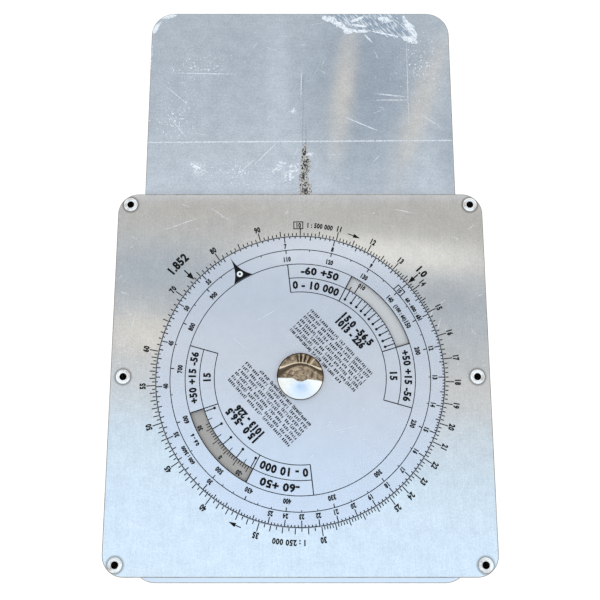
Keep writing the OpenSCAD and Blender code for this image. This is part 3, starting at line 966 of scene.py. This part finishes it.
def printPointer(look):
    tip, waist, centre = [polar(look[key], look["angle"]) for key in ("tip", "waist", "target")]
    left, right = [polar(look["base"], look[key]) for key in ("left", "right")]
    steps = look["steps"]
    low, high = look["pulls"]
    drawn = tip.lerp(waist, high)
    outline = interpolate_bezier(left, left.lerp(waist, low), drawn, tip, steps)
    outline += interpolate_bezier(tip, drawn, right.lerp(waist, low), right, steps)[1:]
    width = look["left"] - look["right"]
    outline += [polar(look["base"], look["right"] + width * i / look["baseSteps"])
                for i in range(1, look["baseSteps"])]
    pointer = Print(discTop)
    addPath(pointer.bm, outline)
    addCircle(pointer.bm, look["targetSize"], look["targetSegments"], centre)
    fillSheet(pointer.bm, discTop, discTop + look["thick"])
    pointer.dot(centre, look["dot"], look["targetThick"])
    pointer.finish("hourPointer", "calculator", "disc_aluminium")
    target = Print(discTop)
    addRod(target.bm, look["targetSize"] - look["targetFit"], look["targetThick"], look["targetSegments"],
           centre, discTop + look["targetThick"] / 2)
    target.finish("pointerTarget", "calculator", "disc_aluminium", ("whiteScreenInk",))


printPointer(pointerLook)

# Framed labels on the disc, and the marks at the inner edge of each window
boxPrint = {
    # text, middle radius, dial angle, height and width share of each label of a frame
    "labels": [("-60 +50", 38.2, 10.8, 2.5, 1.12), ("0 - 10 000", 33.0, 10.0, 2.6, 0.98),
               ("+50 +15 -56", 38.2, 89.5, 2.4, 0.96), ("15", 33.0, 89.3, 2.4, 0.95)],
    "frameEnds": (353.5, 27.3, 73.2, 105.6, 173.5, 207.3, 251.8, 285.6), "frame": (30.4, 40.7),
    "line": (32.2, 35.6), "upperShort": (34.9, 35.6), "lowerShort": (34.0, 35.6),
    "dotRadius": 32.0, "dot": 0.5, "weight": 0.05,
    "upperLines": (30.2, 34.8, 39.0, 43.0, 46.5, 50.2, 54.3, 58.3, 62.6, 66.8, 70.8),
    "lowerLines": (208.8, 218.5, 229.0, 239.3, 250.0), "lowerBetween": (213.3, 223.8, 234.0, 245.0)}


def printBoxes(look):
    disc = Print(discTop)
    for angle in look["frameEnds"]:
        disc.tick(angle, *look["frame"])
    for shift in (0, 180):
        for text, radius, angle, height, narrow in look["labels"]:
            disc.write(text, radius, angle + shift, height, look["weight"], narrow)
    upper = look["upperLines"]
    for angle in upper + look["lowerLines"]:
        disc.tick(angle, *look["line"])
        disc.dot(polar(look["dotRadius"], angle), look["dot"])
    for before, angle in zip(upper, upper[1:]):
        disc.tick((before + angle) / 2, *look["upperShort"], ink["fine"])
    for angle in look["lowerBetween"]:
        disc.tick(angle, *look["lowerShort"], ink["fine"])
    disc.finish("discBoxPrint", "calculator", "disc_aluminium")


printBoxes(boxPrint)

# Two tables of the standard atmosphere in fine print: height, temperature, pressure, factor
tableLook = {"height": 0.88, "lines": 7, "angle": -47.0, "narrow": 0.62, "weight": 0.11, "lastShare": 0.82,
             "first": (3.4, 23.7), "last": (-3.9, 16.7), "length": 31.8, "characters": 50, "seed": 11,
             "titles": [("15.0 -56.5", (14.2, 21.9), 15.4), ("1013 - 226", (12.2, 19.8), 13.8)],
             "titleLetters": (2.35, 0.07, 0.9)}
# Sea level temperature in degrees C and in K, the zero of degrees C in K, fall per km, sea level
# pressure in hPa, power of the pressure law, and the step between the heights in km
atmosphere = {"warm": 15, "absolute": 288.15, "zero": 273.15, "fall": 6.5, "pressure": 1013.25,
              "power": 5.2559, "step": 0.05}


# Lines of figures for rising heights; the heights and the order of the figures vary, as
# rows of a worked table do
def atmosphereLines(look, air, kilometres):
    random.seed(look["seed"])
    lines = []
    for _ in range(look["lines"]):
        line = ""
        while len(line) < look["characters"]:
            warmth = air["warm"] - air["fall"] * kilometres
            kelvin = warmth + air["zero"]
            pressure = air["pressure"] * (1 - air["fall"] * kilometres / air["absolute"]) ** air["power"]
            factor = math.sqrt(air["pressure"] / pressure * kelvin / air["absolute"])
            figures = [f"{1000 * kilometres:.0f}", f"{warmth:.1f}", f"{pressure:.0f}", f"{factor:.4f}",
                       f"{pressure * 100:.0f}", f"({kelvin:.2f})"]
            line += " ".join(random.sample(figures, random.choice((2, 3)))) + "  "
            kilometres += air["step"]
        lines.append(line[:look["characters"]].strip())
    return lines


def printTables(look):
    disc = Print(discTop)
    last = look["lines"] - 1
    for side, kilometres in ((0, 0.0), (180, 5.0)):
        turn = Matrix.Rotation(math.radians(side), 2)
        angle = look["angle"] + side
        for i, line in enumerate(atmosphereLines(look, atmosphere, kilometres)):
            spot = turn @ Vector(look["first"]).lerp(Vector(look["last"]), i / last)
            length = look["length"] * (look["lastShare"] if i == last else 1.0)
            disc.writeLine(line, spot, angle, look["height"], look["weight"], look["narrow"], length)
        for text, spot, length in look["titles"]:
            disc.writeLine(text, turn @ Vector(spot), angle, *look["titleLetters"], length)
    disc.finish("atmosphereTablePrint", "calculator", "disc_aluminium")


printTables(tableLook)
print("calculator side printed")

# Wind side. It is drawn as if it faced up and is then turned over about Y, so that it reads
# right from below.
windLook = {"trackDepth": 0.1, "rose": (57.3, (56.5, 56.0, 55.4)), "roseNumber": (53.3, 2.1),
            "drift": (59.3, (60.1, 60.5, 61.0)), "driftNumber": (62.5, 1.6), "driftHalf": 45,
            "index": ((0, 59.1), 3.6, 2.6), "weight": 0.045}
# The grid's arcs are airspeeds, one millimetre to a knot, round a point under the slide
gridLook = {"apex": -104.0, "speeds": (40, 240), "halfWidth": 55.0, "low": -66.0, "high": 138.0,
            "fine": 0.13, "bold": 0.22, "angleRows": (70, 110, 150, 190, 230), "widest": 45,
            "drifts": range(-40, 41, 5), "room": 4, "letters": (1.9, 0.045),
            "speedShift": (0.7, 0.6), "driftShift": (0.5, 1.0)}


def finishUnderside(page, name, body, recordSlot):
    page.bm.transform(Matrix.Rotation(math.pi, 4, "Y"))
    page.finish(name, body, recordSlot)


# Degree scale: a number at each ten, from the edge where the ticks start
def printDegrees(page, degrees, ticks, number, weight):
    edge, ends = ticks
    radius, height = number
    for degree in degrees:
        rank = rankOf(degree, 10, 5)
        page.tick(degree, *sorted((edge, ends[rank])), ink["fine"])
        if rank == 2:
            page.write(str(abs(degree)), radius, degree, height, weight)


def printRose(look):
    rose = Print(-(levelsOf("compass_ring")[0] + look["trackDepth"]))
    printDegrees(rose, range(360), look["rose"], look["roseNumber"], look["weight"])
    finishUnderside(rose, "compassRosePrint", "compass", "ring_aluminium")


def printDrift(look):
    drift = Print(-backBottom)
    half = look["driftHalf"]
    degrees = [degree for degree in range(-half, half + 1) if degree]
    printDegrees(drift, degrees, look["drift"], look["driftNumber"], look["weight"])
    tip, length, width = look["index"]
    drift.head(Vector(tip), Vector((0, -1)), length, width)
    finishUnderside(drift, "driftScalePrint", "body", "back_plate_aluminium")


# Where a drift line at an angle enters and leaves the printed part of the slide
def gridReach(look, degree):
    turn = math.radians(abs(degree))
    start = max(look["speeds"][0], (look["low"] - look["apex"]) / math.cos(turn))
    end = (look["high"] - look["apex"]) / math.cos(turn)
    if degree:
        end = min(end, look["halfWidth"] / math.sin(turn))
    return start, min(end, look["speeds"][1])


def printGrid(look):
    grid = Print(-slideBottom)
    apex = Vector((0.0, look["apex"]))
    slowest, fastest = look["speeds"]
    for speed in range(slowest, fastest + 1, 5):
        side = math.degrees(math.asin(min(1.0, look["halfWidth"] / speed)))
        lowest = math.degrees(math.acos(min(1.0, (look["low"] - look["apex"]) / speed)))
        half = min(side, lowest, look["widest"])
        width = look["fine"] if speed % 10 else look["bold"]
        grid.band(speed - width / 2, speed + width / 2, -half, half, centre=apex)
        if speed % 10 == 0:
            x, y = look["speedShift"]
            grid.writeLine(str(speed), apex + Vector((x, speed + y)), 0, *look["letters"])
    for degree in look["drifts"]:
        start, end = gridReach(look, degree)
        if end > start:
            ends = [apex + polar(r, degree).to_2d() for r in (start, end)]
            grid.bar(*ends, look["fine"] if degree % 10 else look["bold"])
        for row in look["angleRows"]:
            if degree and degree % 10 == 0 and start < row and row + look["room"] < end:
                x, y = look["driftShift"]
                spot = apex + polar(row + y, degree).to_2d() + Vector((x, 0))
                grid.writeLine(str(abs(degree)), spot, -degree, *look["letters"])
    finishUnderside(grid, "windGridPrint", "slide", "slide_aluminium")


printRose(windLook)
printDrift(windLook)
printGrid(gridLook)
print("wind side printed")


# Stage: pale floor, white surroundings and one large card of soft light over the computer

# A piece of the stage
def finishStage(bm, name, finish):
    piece = linkMesh(bm, name, [finish])
    piece.data.shade_smooth()
    return piece


def makeGrid(half, z):
    bm = bmesh.new()
    bmesh.ops.create_grid(bm, x_segments=1, y_segments=1, size=half, matrix=shifted((0, 0), z))
    return bm


cardLook = {
    "height": 600.0, "half": 1500.0, "eye": (0.0, -9.0, 229.7), "lean": 0.13, "leanEnd": (44, 66),
    "strength": 1.5, "softness": 1.6,
    # tones by the place along the computer that reflects them
    "tones": [(-150, "#c3c7cc"), (-100, "#c9d1d9"), (-72, "#d7ecff"), (-50, "#d4e8fd"),
              (-34, "#d0e4f4"), (-23, "#cbdae9"), (-15, "#cad3db"), (-7, "#c7ccd1"), (2, "#c9c9c9"),
              (12, "#bfc1c3"), (21, "#b3b9bf"), (32, "#adb4bc"), (42, "#b5b9bd"), (52, "#b8b8b7"),
              (62, "#b3b1ae"), (65.5, "#b3b1ae"), (69, "#d5dae1"), (84, "#cdd3d8"), (98, "#c6ccd2"),
              (118, "#c3c9cf"), (142, "#c3c9ce"), (180, "#d0d5d8")],
    # soft shapes: where they show on the computer, half sizes, angle, tone and share
    "shapes": [((33, 44.5), (70, 10.5), -4, "#f3f1ec", 1.0), ((3, 45.5), (46, 8.5), 0, "#f3f1ec", 0.9),
               ((60, -22), (22, 12), 0, "#cbdbea", 0.9),
               ((52, 28), (24, 8.5), -14, "#9fa6ae", 0.9), ((-52, 38), (28, 14), 0, "#a2acb7", 0.9),
               ((-56, 16), (22, 11), -12, "#e4ded4", 0.95), ((58, 7), (20, 10), -10, "#afb5bb", 0.8),
               ((25, 112), (38, 58), 0, "#9aa4af", 1.0), ((58, 86), (9, 26), -4, "#9aa4af", 0.8),
               ((-24, 124), (16, 30), 0, "#b6bdc4", 0.6),
               ((16.4, 108), (46, 7.2), 83, "#f3e5d4", 1.0), ((45.5, 101), (52, 7.4), 71, "#f3e5d4", 1.0),
               ((26, 75), (26, 17), 0, "#a9b1bb", 0.45), ((-8.5, 110), (50, 7.6), 92, "#d6dce3", 1.0)]}


# The card's place that a spot on the computer's top reflects into the eye, and its scale
def cardSpot(x, y, look):
    gain = (look["height"] - frontTop) / (look["eye"][2] - frontTop)
    return x + (x - look["eye"][0]) * gain, y + (y - look["eye"][1]) * gain, 1 + gain


# Colours between stops, which are given as places in mm along a value
def rampOf(value, stops):
    low, high = stops[0][0], stops[-1][0]
    ramp = addNode(value.tree, "ShaderNodeValToRGB", {"Fac": remap(value, low * mm, high * mm)})
    elements = ramp.color_ramp.elements
    for i, (spot, code) in enumerate(stops):
        share = (spot - low) / (high - low)
        element = elements[0] if i == 0 else elements[-1] if i == len(stops) - 1 else elements.new(share)
        element.position = share
        element.color = linearColour(code)
    return Wire(ramp.outputs["Color"])


def makeCard(look):
    place = newMaterial("lightCard")
    across, along, _ = sidesOf(place)
    start, end = [cardSpot(0, y, look)[1] * mm for y in look["leanEnd"]]
    along = along + across * remap(along, start, end, look["lean"], 0.0)
    colour = rampOf(along, [(cardSpot(0, y, look)[1], code) for y, code in look["tones"]])
    for spot, halves, angle, code, share in look["shapes"]:
        x, y, gain = cardSpot(*spot, look)
        mask = ellipseMask(place, x, y, halves[0] * gain, halves[1] * gain, angle)
        colour = mixColour(calculate("MULTIPLY", mask, look["softness"] * share, clamp=True), colour, code)
    closeMaterial(feed(place.tree, "ShaderNodeEmission", {"Color": colour, "Strength": look["strength"]}))
    bm = makeGrid(look["half"], look["height"])
    bmesh.ops.reverse_faces(bm, faces=bm.faces[:])
    card = finishStage(bm, "lightCard", "lightCard")
    card.visible_camera = False
    card.visible_shadow = False


makeCard(cardLook)

# A small tent round the dome, met only by the dome's own reflections: a bright sky on one
# side and a brown wall with a light cornice and dark openings on the other. Places and half
# sizes are in mm on the tent.
tentLook = {
    "radius": 8.3, "lift": 0.7, "strength": 1.15, "sky": "#f4fcff", "blue": "#b0d0f6", "wall": "#b1a28c",
    "stain": "#5f5447", "speck": "#ddd2bf", "shade": "#332b24", "shadeLevels": (3.2, 0.6),
    "shadeShare": 0.75, "edge": -1.3, "edgeSoft": (0.1, 0.5), "edgeDip": 3.1, "dipWidth": 4.0,
    "edgeTilt": 0.07, "ragged": 0.5, "bluePlace": (0.2, -5.4, 7.0, 5.0),
    "bands": [((0.2, -3.1), 9.3, 0.75, "#51463b"), ((-0.1, -2.9), 9.65, 0.18, "#e0d4c0")],
    "openings": [((-1.1, 7.5), (0.42, 1.0), 12, "#43382e"), ((0.3, 7.6), (0.55, 1.1), 0, "#1d252e"),
                 ((2.0, 7.4), (0.48, 0.95), -14, "#2b251f"), ((3.7, 6.8), (0.66, 1.0), -28, "#4a3b2c")],
    "lights": [((-0.4, 7.6), (0.15, 0.95), 6, "#bfae92"), ((1.15, 7.5), (0.18, 1.0), -9, "#dcc39c"),
               ((2.9, 7.0), (0.15, 0.85), -22, "#c9b391"), ((5.0, 6.1), (0.46, 1.3), -38, "#c3b59c")]}


def makeTent(look):
    place = newMaterial("tentPaper")
    across, along, height = sidesOf(place)
    dip = ellipseMask(place, 0, look["edge"], look["dipWidth"], look["dipWidth"])
    edge = (along + dip * (look["edgeDip"] * mm) + noiseOf(place, 1.6, 4.0) * (look["ragged"] * mm)
            + across * look["edgeTilt"])
    upper = remap(edge, *[(look["edge"] + soft) * mm for soft in look["edgeSoft"]])
    sky = mixColour(ellipseMask(place, *look["bluePlace"]), look["sky"], look["blue"])
    stains = noiseOf(place, 1.5, 7.0, 0.7, (1.5, 1, 1))
    wall = mixColour(remap(stains, 0.4, 0.6), look["wall"], look["stain"])
    wall = mixColour(remap(stains, 0.38, 0.3), wall, look["speck"])
    levels = [(capBottom + level) * mm for level in look["shadeLevels"]]
    wall = mixColour(remap(height, *levels, 0, look["shadeShare"]), wall, look["shade"])
    for (x, y), radius, width, code in look["bands"]:
        reach = radius / 0.8
        away = calculate("ABSOLUTE", ellipseMask(place, x, y, reach, reach) - 0.2)
        wall = mixColour(remap(away, width / reach, width * 0.4 / reach), wall, code)
    for (x, y), halves, angle, code in look["openings"] + look["lights"]:
        mask = calculate("MULTIPLY", ellipseMask(place, x, y, *halves, angle), 2.5, clamp=True)
        wall = mixColour(mask, wall, code)
    colour = mixColour(upper, sky, wall)
    light = feed(place.tree, "ShaderNodeEmission", {"Color": colour, "Strength": look["strength"]})
    inside = feed(place.tree, "ShaderNodeNewGeometry", output="Backfacing")
    closeMaterial(mixShader(inside, feed(place.tree, "ShaderNodeBsdfTransparent"), light))
    bm = bmesh.new()
    bmesh.ops.create_uvsphere(bm, u_segments=96, v_segments=48, radius=look["radius"],
                              matrix=shifted((0, 0), capBottom + look["lift"]))
    bmesh.ops.bisect_plane(bm, geom=bm.verts[:] + bm.edges[:] + bm.faces[:], plane_co=(0, 0, capBottom),
                           plane_no=(0, 0, 1), clear_inner=True)
    tent = finishStage(bm, "reflectionTent", "tentPaper")
    tent.visible_camera = False
    tent.visible_diffuse = False
    tent.visible_shadow = False
    tent.visible_transmission = False


makeTent(tentLook)

floorLook = {"drop": 0.05, "half": 6000.0, "colour": "#f4f5f6", "whiteShare": 0.8, "cover": 66.0,
             "glow": 1.2, "shadeRadius": 1.8, "shade": (0.02, 0.02, 0.02, 1)}


# The floor is seen as white with a soft shadow. It is clear from below, and only camera,
# glossy and transmitted rays meet it, so that the computer's underside keeps its light.
def makeFloor(look):
    place = newMaterial("paleFloor")
    path = addNode(place.tree, "ShaderNodeLightPath").outputs
    camera, glossy, sent = [Wire(path[f"Is {kind} Ray"]) for kind in ("Camera", "Glossy", "Transmission")]
    seen = calculate("ADD", camera + glossy, sent, clamp=True)
    behind = feed(place.tree, "ShaderNodeNewGeometry", output="Backfacing")
    front = calculate("SUBTRACT", seen, behind, clamp=True)
    covered = camera
    for side in sidesOf(place)[:2]:
        covered = covered * calculate("LESS_THAN", calculate("ABSOLUTE", side), look["cover"] * mm)
    # no light comes up through the eyelets
    holes = [(x, y, look["shadeRadius"], look["shadeRadius"]) for x, y in eyeletPlaces]
    shade = remap(ellipsesMask(place, holes), 0.0, 0.1)
    covered = calculate("MAXIMUM", covered, shade)
    pale = mixColour(noiseOf(place, 2.0), look["colour"], "#ffffff")
    pale = mixColour(shade, pale, look["shade"])
    strength = (1.0 - covered) * look["glow"]
    diffuse = feed(place.tree, "ShaderNodeBsdfDiffuse", {"Color": pale})
    glow = feed(place.tree, "ShaderNodeEmission", {"Color": "#ffffff", "Strength": strength})
    lit = feed(place.tree, "ShaderNodeMixShader", {0: look["whiteShare"], 1: diffuse, 2: glow})
    closeMaterial(mixShader(front, feed(place.tree, "ShaderNodeBsdfTransparent"), lit))
    finishStage(makeGrid(look["half"], -look["drop"]), "paleFloor", "paleFloor")


makeFloor(floorLook)

world = bpy.data.worlds.new("whiteRoom")
world.use_nodes = True
world.node_tree.nodes.clear()
surroundings = feed(world.node_tree, "ShaderNodeBackground", {"Color": "#ffffff", "Strength": 1.0})
addNode(world.node_tree, "ShaderNodeOutputWorld", {"Surface": surroundings})
scene.world = world
print("stage made")
